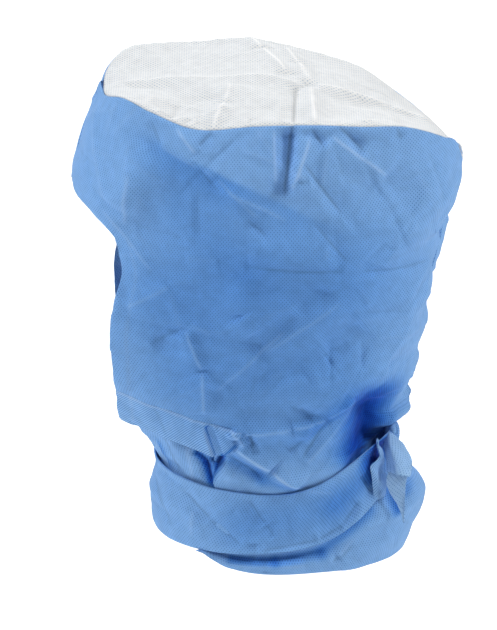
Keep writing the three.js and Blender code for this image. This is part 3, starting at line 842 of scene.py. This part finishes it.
def jaw_hem(side):
    """The doubled hem under the jaw: a strip on the panel, whose lower edge is folded under."""
    shape = (121, 29)
    share, rise = grid(np.linspace(0, HEM_TIP["to"], shape[0]), np.linspace(0, 1, shape[1]))
    tip = ramp(share, HEM_TIP["from"], HEM_TIP["to"])
    top = HEM_DOWN - 0.5
    low = JAW_DOWN + 0.8 + (HEM_TIP["down"] - JAW_DOWN) * tip
    down = top + (low - top) * rise
    edge = cheek_edge(down)
    angle = np.radians(edge + (180 - edge) * pleat_place() * share)
    base, normal = body(angle, down, side)
    relief = panel_relief(angle, down, base, side)
    if side == "left":
        y, z = base[:, 1:].T
        relief[:2] += creases(HEM_CREASES, y, z)
        # Painted shade in the fold into the pleat
        relief[2] = np.maximum(relief[2], gather_shade(HEM_GATHER_SHADE, y, z))
    # It stands off the panel, is stitched down along its top, and lies flat at its tip
    stitched = HEM_LIFT["stitched"] * np.exp(-rise / HEM_LIFT["fall"])
    lift = (HEM_LIFT["out"] - stitched + HEM_LIFT["lower"] * rise) * (1 - HEM_LIFT["tip"] * tip ** 4)
    # A pale line along the stitched top: painted highlight on the step.
    relief[1] += 0.7 * bell(rise, 0.06, 0.05)
    points = (base + normal * (relief[0] + lift)[:, None]).reshape(shape + (3,))
    normal = normal.reshape(shape + (3,))
    under = rolled(points[:, -1:], normal[:, -1:], (0.7, -0.4), (1.3, 0.2))
    points = np.concatenate([points] + under, axis=1)
    uv = flat_pattern(base.reshape(shape + (3,)))
    uv = np.concatenate([uv, uv[:, -1:] - (0, 0.8), uv[:, -1:] - (0, 1.6)], axis=1)
    marks = np.pad(relief[1:].reshape((2,) + shape), ((0, 0), (0, 0), (0, 2)))
    points, faces = on_side(side, points, grid_faces(numbered(points)))
    return cloth_piece(f"jaw_hem_cloth_{side}", f"jaw_hem_{side}", points, faces, uv, marks)


# ---- throat flap

FLAP_ANGLE = 1.32
FLAP_SQUARE = 2.15

# Sections of the throat flap, from its hidden top edge to its hidden lower edge
FLAP_SECTIONS = table(
    "down z_front z_side y_front half",
    (0, -208, -203, -76, 61),
    (15, -221, -221, -65, 60.2),
    (32, -235, -239, -57.2, 59.8),
    (50, -254, -256, -58.6, 59.6),
    (66, -270, -270, -58, 60),
)

# Folds of the flap seen from the front
FLAP_FOLDS = table(
    "x1 z1 x2 z2 wide high sharp",
    (-18, -206, -8, -240, 7, 1.6, 0),
    (22, -206, 14, -238, 8, 1.8, 0),
    (38, -208, 34, -240, 6, -1.6),
    (50, -208, 44, -240, 6, 1.4),
    (-40, -208, -34, -240, 7, 1.5),
    (0, -212, 4, -244, 6, -1.4, 0),
)

# Folds of the flap beside the left pleat, and the painted shade, a deeper blue, in their hollows, seen from
# the side
FLAP_SIDE_FOLDS = table(
    "y1 z1 y2 z2 wide high sharp",
    (-38, -210, -34, -219, 4, -1.8),
    (-34, -219, -28, -224, 4, -2.2),
    (-29, -223, -26, -236, 4, -3.4),
    (-24, -220, -25, -236, 4, 3.4),
    (-44, -214, -50, -232, 8, 1.5, 0),
    (-19, -220, -23, -236, 4, -3),
)
FLAP_GATHER_SHADE = table(
    "y1 z1 y2 z2 wide deep",
    (-34, -219, -28, -225, 2.2, 0.7),
    (-29, -225, -26, -236, 2.2, 0.8),
    (-60, -222, -54, -234, 3, 0.4),
    (-20, -214, -20, -236, 6, 0.7),
)


def throat_flap():
    """The flap that closes the throat, from inside the jaw hems down behind the tie."""
    shape = (221, 81)
    fall = np.linspace(0, FLAP_SECTIONS[-1]["down"], shape[1])
    turn, down = grid(np.linspace(-FLAP_ANGLE, FLAP_ANGLE, shape[0]), fall)
    size = {name: read(FLAP_SECTIONS, "down", name, down) for name in FLAP_SECTIONS[0]}
    sine = np.sin(turn)
    cosine = np.cos(turn)
    radius = oval(sine, cosine, size["half"], AXIS_Y - size["y_front"], FLAP_SQUARE)
    z = size["z_side"] + (size["z_front"] - size["z_side"]) * cosine ** 2
    points = np.stack([radius * sine, AXIS_Y - radius * cosine, z], axis=1)
    uv = flat_pattern(points.reshape(shape + (3,)))
    faces = grid_faces(numbered(uv))
    normal = mesh_normals(points, faces)
    draw = np.random.default_rng(SEED + 11)
    relief = creases(FLAP_FOLDS, points[:, 0], points[:, 2])
    relief += scattered_creases(points[:, 0], z, draw, 40, (-60, 60, -250, -205), (8, 26), (2, 6), (0.2, 0.8))
    free = np.maximum(ramp(np.degrees(np.abs(turn)), 66, 58), 0.1) * np.maximum(ramp(down, 36, 30), 0.1)
    left = turn > 0.4
    relief[:, left] += creases(FLAP_SIDE_FOLDS, points[left, 1], points[left, 2])
    points = points + normal * (relief[0] * free)[:, None]
    # Painted crease lines, and painted shade in the hollows beside the left pleat
    marks = np.stack([relief[1], gather_shade(FLAP_GATHER_SHADE, points[:, 1], points[:, 2]) * left])
    return cloth_piece("throat_flap_cloth", "chin_flap", points, faces, uv, marks)


# ---- tie

# Upper and lower edges of the tie round the neck, measured down the panel
TIE_EDGES = table(
    "degrees top low",
    (0, 238, 281), (60, 238, 283.5), (90, 238, 282), (120, 236, 279), (133, 231, 275),
    (141, 226, 272), (150, 222, 269), (160, 220, 267), (170, 223, 266), (180, 224, 266),
)

# Creases of the tie on the left, and the painted shade, a deeper blue, in its deep folds, as lines seen from
# the side
TIE_CREASES = table(
    "y1 z1 y2 z2 wide high sharp lean",
    (-41, -246, -26, -260, 6, -1.4, 1, 0.3),
    (-26, -260, -8, -273, 6, -1.4, 1, 0.3),
    (-36, -256, -37, -272, 5, 1),
    (-4, -244, 7, -260, 6, -1.2),
    (7, -260, 12, -268, 6, -1),
    (0, -271, 0, -279, 4, -1.4),
    (4, -276, 38, -270, 6, -2, 1, -0.4),
    (38, -270, 52, -263, 6, -2, 1, -0.4),
    (52, -263, 61, -252, 6, -1.8, 1, -0.4),
    (22, -262, 50, -250, 9, 1.3, 0),
    (-50, -240, -57, -262, 7, 1.4, 0),
    (-58, -246, -50, -270, 5, -1),
    (-30, -242, -12, -252, 6, 1, 0),
    (20, -236, 46, -242, 6, 0.9),
    (62, -236, 70, -250, 5, -1.4),
)
TIE_GATHER_SHADE = table(
    "y1 z1 y2 z2 wide deep",
    (72, -217, 70, -230, 6, 0.97),
    (66, -226, 69, -240, 4, 0.4),
    (-24, -233, 10, -238, 2, 0.4),
    (-5, -260, 40, -252, 17, 0.12),
    (48, -250, 64, -238, 9, 0.2),
)

# Free ends of the tie. Each row gives one level of the strip, with the points of its cross-section:
# the front edge, the middle of the front, the lengthwise fold, and the two points behind it.
RIGHT_END = table(
    "z y_edge x_edge y_front x_front y_fold x_fold y_inner x_inner y_behind x_behind",
    (-215, 79.5, 25, 80.5, 26, 81.5, 25, 81, 24, 80, 24),
    (-219, 77.5, 28, 81, 31.5, 86.2, 27, 84, 24, 80, 25),
    (-224, 77.6, 31, 83, 37, 90.4, 29, 86, 26, 80, 28),
    (-229, 78.5, 33, 85, 41, 93.6, 32, 87.5, 31, 80, 32),
    (-234, 79.2, 37, 86, 44, 92.6, 38, 88, 39.5, 79.8, 39),
    (-241, 79, 39, 85, 44, 90.4, 42.5, 86.4, 42, 78.6, 41.5),
    (-247, 80.6, 41, 85, 44, 90, 43.6, 87.2, 43, 80.6, 42),
    (-254, 84.8, 43, 87, 45, 89.6, 44.2, 88.8, 43, 84.8, 43),
    (-260, 87.6, 46, 88.4, 46.5, 89.6, 46.2, 89, 45.6, 87.6, 45.5),
    (-265, 88.8, 47.5, 89, 47.8, 89.6, 47.6, 89.3, 47.2, 88.9, 47),
)
LEFT_END = table(
    "z y_edge x_edge y_front x_front y_fold x_fold y_inner x_inner y_behind x_behind",
    (-215, 72.6, 37, 73, 37.6, 73.4, 37, 73.2, 36, 73, 36),
    (-220, 72.8, 39, 74, 40, 75.2, 37, 74.6, 35, 74, 35),
    (-225, 74.2, 40, 75.4, 40, 76.8, 36, 75.8, 34, 75, 34),
    (-228, 71.6, 42, 74, 41, 77.4, 35, 76, 33, 75, 33.5),
    (-230.5, 69.6, 42, 73, 40, 77.4, 33, 76, 31, 75, 32),
    (-240, 70.2, 41, 74, 39.5, 77.7, 32.5, 76.4, 31, 75.4, 32),
    (-252, 71.4, 42.5, 75, 41, 78.2, 34.5, 77, 33, 76, 34),
)
INSIDE_PAINTED_LIGHT = 0.12  # painted light: the inside face of the strip, in shade below the lip, is drawn paler
NAPE_LIFT = {"out": 1.8, "degrees": 24}  # the tie stands further off at the nape

KNOT = {"x": 14.0, "y": 82.5, "z": -219.5, "wide": 10.0, "deep": 4.6, "high": 7.5}
KNOT_GROOVE = {"deep": 0.16, "wide": 0.35}


def neck_tie():
    """The tie once round the neck, with both its long edges rolled in."""
    shape = (461, 47)
    turn, rise = grid(np.linspace(-math.pi, math.pi, shape[0]), np.linspace(0, 1, shape[1]))
    angle = np.abs(turn)
    along = np.degrees(turn)
    top, low = (read(TIE_EDGES, "degrees", name, np.abs(along)) for name in ("top", "low"))
    down = top + (low - top) * rise
    base, normal = body(angle, down, "left")
    flip = np.where(turn < 0, -1.0, 1.0)
    base[:, 0] *= flip
    normal[:, 0] *= flip
    draw = np.random.default_rng(SEED + 17)
    relief = 0.6 * scattered_creases(
        along, down - top, draw, 110, (-180, 180, 0, 45), (10, 34), (2.5, 6), (0.2, 0.9)
    )
    left = base[:, 0] > 0
    relief[:, left] += 1.4 * creases(TIE_CREASES, base[left, 1], base[left, 2])
    inner = np.sin(math.pi * rise) ** 0.5
    relief *= 0.35 + 0.65 * inner
    nape = bell(np.abs(along), 180, NAPE_LIFT["degrees"])
    lift = TIE_GAP + WALL - 0.8 * (1 - inner) + NAPE_LIFT["out"] * nape
    points = (base + normal * (lift + relief[0])[:, None]).reshape(shape + (3,))
    normal = normal.reshape(shape + (3,))
    over = rolled(points[:, :1], normal[:, :1], (1.3, -0.2), (0.6, 0.3))
    under = rolled(points[:, -1:], normal[:, -1:], (0.6, -0.3), (1.3, 0.2))
    points = np.concatenate(over + [points] + under, axis=1)
    points[-1] = points[0]
    # Painted shade in the tie's deep folds, faded out near the centre line
    tie_painted_shade = gather_shade(TIE_GATHER_SHADE, base[:, 1], base[:, 2]) * ramp(base[:, 0], 10, 30)
    marks = np.pad(np.stack([relief[1], tie_painted_shade]).reshape((2,) + shape), ((0, 0), (0, 0), (2, 2)))
    uv = flat_pattern(base.reshape(shape + (3,)))
    uv = np.concatenate([uv[:, :1] + (0, 2)] * 2 + [uv, uv[:, -1:] - (0, 1), uv[:, -1:] - (0, 2)], axis=1)
    vertex = numbered(points)
    vertex[-1] = vertex[0]
    return cloth_piece("neck_tie_cloth", "neck_tie", points, grid_faces(vertex), uv, marks)


def tie_end(side, rows, lip, seed):
    """One free end of the tie: a strip folded lengthwise. The front half is cut off at the lip."""
    shape = (57, 85)
    half = shape[0] // 2
    z = np.linspace(rows[0]["z"], rows[-1]["z"], shape[1])
    keys = -column(rows, "z")
    parts = ("edge", "front", "fold", "inner", "behind")
    across = np.linspace(0, len(parts) - 1, shape[0])
    levels = {}
    for axis in "xy":
        knots = np.array([smooth_along(keys, column(rows, f"{axis}_{part}"), -z) for part in parts])
        levels[axis] = np.array([smooth_along(np.arange(len(parts)), level, across) for level in knots.T]).T
    points = np.stack([levels["x"], levels["y"], np.broadcast_to(z, shape)], axis=2)
    uv = flat_pattern(points)
    u, v = uv.reshape(-1, 2).T
    draw = np.random.default_rng(seed)
    rough = scattered_creases(u, v, draw, 18, (u.min(), u.max(), v.min(), 0), (8, 24), (2, 4), (0.2, 0.7))
    vertex = numbered(points)
    cell_c, cell_r = np.meshgrid(np.arange(shape[0] - 1), np.arange(shape[1] - 1), indexing="ij")
    faces = grid_faces(vertex, (cell_c >= half) | (z[cell_r] > lip))
    points = points.reshape(-1, 3)
    normal = mesh_normals(points, grid_faces(vertex))
    place, level = grid(across, z)
    rough *= np.where(level > lip, 1, 0.25)
    near_lip = bell(level, lip, 4) * (place < 1.8)
    points = points + normal * (rough[0] + 1.5 * near_lip)[:, None]
    points[:, 2] += near_lip * (2 * np.sin(math.pi * place / 1.4) - 1.2)
    # Painted light: the inside face, which lies in shade, is paled.
    marks = np.stack([rough[1] + INSIDE_PAINTED_LIGHT * (place > 2), np.zeros(len(points))])
    return cloth_piece(f"tie_end_cloth_{side}", f"tie_end_{side}", points, faces, uv, marks)


def tie_knot():
    """The knot: two turns of cloth, creased where they are drawn together."""
    spokes = 96
    pole = math.pi / 2 - 0.02
    turn, lift = grid(np.linspace(0, 2 * math.pi, spokes, endpoint=False), np.linspace(pole, -pole, 65))
    across = np.cos(lift) * np.cos(turn)
    depth = np.cos(lift) * np.sin(turn)
    height = np.sin(lift)
    groove = 1 - KNOT_GROOVE["deep"] * bell(across + height, 0, KNOT_GROOVE["wide"])
    folds = 0.1 * np.sin((across + height) * 14.4 + 0.6 * np.sin((across - height) * 3.5)) * np.cos(lift)
    swell = groove + folds
    points = np.stack([
        KNOT["x"] + KNOT["wide"] * across * swell,
        KNOT["y"] + KNOT["deep"] * depth * swell,
        KNOT["z"] + KNOT["high"] * height * swell,
    ], axis=1)
    vertex = np.arange(len(points)).reshape(spokes, -1)
    faces = grid_faces(np.concatenate([vertex, vertex[:1]]))
    uv = np.stack([turn * 8, -lift * 8], axis=1)
    return cloth_piece("tie_knot_cloth", "tie_knot", points, faces, uv)


# ---- materials

NO_LINES = 400  # spreads the second set of lines so far that the cloth has only the first


def linear(hex_colour):
    """An sRGB hex colour as linear red, green, blue and alpha."""
    parts = [int(hex_colour[i:i + 2], 16) / 255 for i in (1, 3, 5)]
    return [p / 12.92 if p <= 0.04045 else ((p + 0.055) / 1.055) ** 2.4 for p in parts] + [1.0]


def add(tree, kind, settings=None, links=None, out=0):
    """Adds a node with its settings, links its inputs to other outputs, and gives one of its outputs."""
    node = tree.nodes.new("ShaderNode" + kind)
    for name, value in (settings or {}).items():
        if isinstance(name, int) or name in node.inputs:
            node.inputs[name].default_value = value
        else:
            setattr(node, name, value)
    for name, source in (links or {}).items():
        tree.links.new(source, node.inputs[name])
    return node.outputs[out] if node.outputs else None


def bonded_lines(node, flat, degrees, pitch):
    """A wave from -1 to 1 across lines at an angle in the flat pattern. Millimetres."""
    turned = node("VectorRotate", {"Angle": math.radians(degrees)}, {"Vector": flat})
    across = node("SeparateXYZ", links={"Vector": turned})
    phase = node("Math", {"operation": "MULTIPLY", 1: 2 * math.pi / pitch}, {0: across})
    return node("Math", {"operation": "COSINE"}, {0: phase})


def nonwoven(name, colour, bond_colour, whitening_and_highlight_colour, pitch, lines, sheen, single=False):
    """Polypropylene nonwoven, spun and then bonded between hot rollers with an embossed pattern.

    Fine random fibres give it a soft cloudy matt face, and each bond is a small glazed dimple.
    A hard crease pales it, as the fibres come apart, and that pale line is also a painted highlight; the
    valley of a crease is darkened with painted shade. Where folds lie deep the colour is painted a deeper,
    purer blue as painted shade.
    """
    material = bpy.data.materials.new(name)
    material.use_nodes = True
    material.node_tree.nodes.clear()
    node = partial(add, material.node_tree)
    flat = node("UVMap", {"uv_map": "flat_pattern"})
    first = bonded_lines(node, flat, lines, pitch)
    second = bonded_lines(node, flat, -lines, pitch * (NO_LINES if single else 1))
    both = node("Math", {"operation": "ADD"}, {0: first, 1: second})
    bond = node(
        "MapRange",
        {"From Min": 1.1 if single else 0.7, "From Max": 1.9, "interpolation_type": "SMOOTHSTEP"},
        {"Value": both},
    )
    fibres = node("TexNoise", {"Scale": 2.2, "Detail": 3.0, "Roughness": 0.6}, {"Vector": flat})
    cloud = node("TexNoise", {"Scale": 0.16, "Detail": 4.0, "Roughness": 0.62}, {"Vector": flat})
    middle = {"From Min": 0.3, "From Max": 0.7}
    tone, grain = (
        node("MapRange", {**middle, "To Min": 1 - by, "To Max": 1 + by}, {"Value": noise})
        for noise, by in ((cloud, 0.07), (fibres, 0.04))
    )
    shade = node("Math", {"operation": "MULTIPLY"}, {0: tone, 1: grain})
    cloth = node("VectorMath", {"operation": "SCALE", 0: linear(colour)[:3]}, {"Scale": shade})
    mixed = node("Mix", {"data_type": "RGBA", "B": linear(bond_colour)}, {"Factor": bond, "A": cloth}, out=2)
    # Painted crease light and shade: ridges paled toward the whiter colour (whitened fibres and painted
    # highlight), valleys darkened (painted shade).
    mark = node("Attribute", {"attribute_name": "crease_line"}, out="Fac")
    darker = {"From Min": -1.0, "From Max": 0.0, "To Min": 0.6, "To Max": 0.9}
    valley = node("MapRange", darker, {"Value": mark})
    ridge = node("MapRange", {"To Max": 0.4}, {"Value": mark})
    mixed = node("VectorMath", {"operation": "SCALE"}, {0: mixed, "Scale": valley})
    mixed = node("Mix", {"data_type": "RGBA", "B": linear(whitening_and_highlight_colour)}, {"Factor": ridge, "A": mixed}, out=2)
    # Painted shade where folds lie deep: the colour is raised to a power and tinted a deeper blue
    depth = node("Attribute", {"attribute_name": "gather_depth"}, out="Fac")
    painted_shade_gamma = node("Math", {"operation": "MULTIPLY_ADD", 1: 2.0, 2: 1.0}, {0: depth})
    colour_with_painted_shade = node("Gamma", links={"Color": mixed, "Gamma": painted_shade_gamma})
    colour_with_painted_shade = node(
        "Mix", {"data_type": "RGBA", "blend_type": "MULTIPLY", "B": (0.45, 0.85, 1.0, 1)},
        {"Factor": depth, "A": colour_with_painted_shade}, out=2,
    )
    height = node("Math", {"operation": "MULTIPLY_ADD", 1: -1.0}, {0: bond, 2: fibres})
    bump = node("Bump", {"Strength": 0.5, "Distance": 0.00025}, {"Height": height})
    finish = {"Roughness": 0.8, "IOR": 1.49, "Specular IOR Level": 0.1, "Sheen Roughness": 0.45}
    finish["Sheen Weight"] = sheen
    shader = node("BsdfPrincipled", finish, {"Base Color": colour_with_painted_shade, "Normal": bump})
    node("OutputMaterial", links={"Surface": shader})
    return material


def plain(name, colour, roughness, glow=0.0):
    """Matt studio paper."""
    material = bpy.data.materials.new(name)
    material.use_nodes = True
    shader = material.node_tree.nodes["Principled BSDF"]
    shader.inputs["Base Color"].default_value = linear(colour)
    shader.inputs["Roughness"].default_value = roughness
    shader.inputs["Emission Color"].default_value = linear("#ffffff")
    shader.inputs["Emission Strength"].default_value = glow
    return material


# ---- studio

HOOD_MIDDLE = (0, -0.004, -0.15)
FLOOR_LEVEL = -0.7
LAMPS = table(
    "name place size power tint",
    ("softbox_backdrop", (-2.4, 0, 1.2), 1.8, 46, "#ffffff"),
    ("softbox_top", (0.8, 0.0, 1.7), 0.6, 9, "#ffffff"),
    ("softbox_front", (0.4, -1.6, 1.1), 0.5, 22, "#ffffff"),
    ("softbox_back", (0.3, 1.5, 1.2), 0.5, 23, "#fffaf4"),
)
CAMERA = {"lens": 380.95, "away": 4.0, "tilt": 20, "target": (0, -0.0039, -0.1495)}


def placed(name, data, place, target):
    """Puts a light or the camera in its place, turned to its target."""
    thing = bpy.data.objects.new(name, data)
    thing.location = place
    thing.rotation_euler = (Vector(target) - thing.location).to_track_quat("-Z", "Y").to_euler()
    bpy.context.scene.collection.objects.link(thing)
    return thing


def studio():
    """A pale floor, soft lights over, before and behind the hood, and the camera."""
    scene = bpy.context.scene
    scene.view_settings.view_transform = "Standard"
    world = bpy.data.worlds.new("studio_room")
    world.use_nodes = True
    tree = world.node_tree
    place = add(tree, "TexCoord", out="Generated")
    up = add(tree, "SeparateXYZ", links={"Vector": place}, out="Z")
    fade = {"From Min": 0.05, "From Max": 0.35, "To Min": 0.75, "To Max": 0.05}
    wall = add(tree, "MapRange", {"interpolation_type": "SMOOTHSTEP", **fade}, {"Value": up})
    tree.nodes["Background"].inputs["Color"].default_value = linear("#f4f7fb")
    tree.links.new(wall, tree.nodes["Background"].inputs["Strength"])
    scene.world = world
    bpy.ops.mesh.primitive_plane_add(size=20, location=(0, 0, FLOOR_LEVEL))
    floor = bpy.context.object
    floor.name = "studio_floor"
    floor.data.materials.append(plain("white_paper", "#fbfbfb", 0.9, 0.36))
    for lamp in LAMPS:
        data = bpy.data.lights.new(lamp["name"], "AREA")
        data.size = lamp["size"]
        data.energy = lamp["power"]
        data.color = linear(lamp["tint"])[:3]
        placed(lamp["name"], data, lamp["place"], HOOD_MIDDLE)
    data = bpy.data.cameras.new("camera")
    data.lens = CAMERA["lens"]
    data.sensor_width = 36
    data.clip_end = 50
    tilt = math.radians(CAMERA["tilt"])
    place = Vector(CAMERA["target"]) + CAMERA["away"] * Vector((math.cos(tilt), 0, math.sin(tilt)))
    scene.camera = placed("camera", data, place, CAMERA["target"])


# ---- build

studio()
BLUE = nonwoven("blue_sms_nonwoven", "#84b4ec", "#3d74bb", "#bcd8f8", 1.5, 40, 0.06)
BLUE_HEM = nonwoven("blue_sms_hem", "#94c1f4", "#5089cf", "#c8e0fb", 1.2, 40, 0.06, single=True)
# A lighter copy of the blue for the right tie end: painted light, for the end lies in shade under its lip.
BLUE_PAINTED_LIGHTER = nonwoven("blue_sms_painted_lighter", "#9fc9f6", "#5a90d2", "#cfe3fb", 1.5, 40, 0.06)
WHITE = nonwoven("white_spunbond", "#e4e7e9", "#98aec8", "#ffffff", 2.0, 45, 0.2)

panels = {side: side_panel(side) for side in ("left", "right")}
hems = {side: jaw_hem(side) for side in ("left", "right")}
crown = crown_piece()
flap = throat_flap()
tie = neck_tie()
knot = tie_knot()
end_left = tie_end("left", LEFT_END, -260, SEED + 21)
end_right = tie_end("right", RIGHT_END, -235, SEED + 22)
for cloth in (*panels.values(), flap, tie, knot):
    cloth.data.materials.append(BLUE)
for cloth in (*hems.values(), end_left):
    cloth.data.materials.append(BLUE_HEM)
end_right.data.materials.append(BLUE_PAINTED_LIGHTER)
crown.data.materials.append(WHITE)
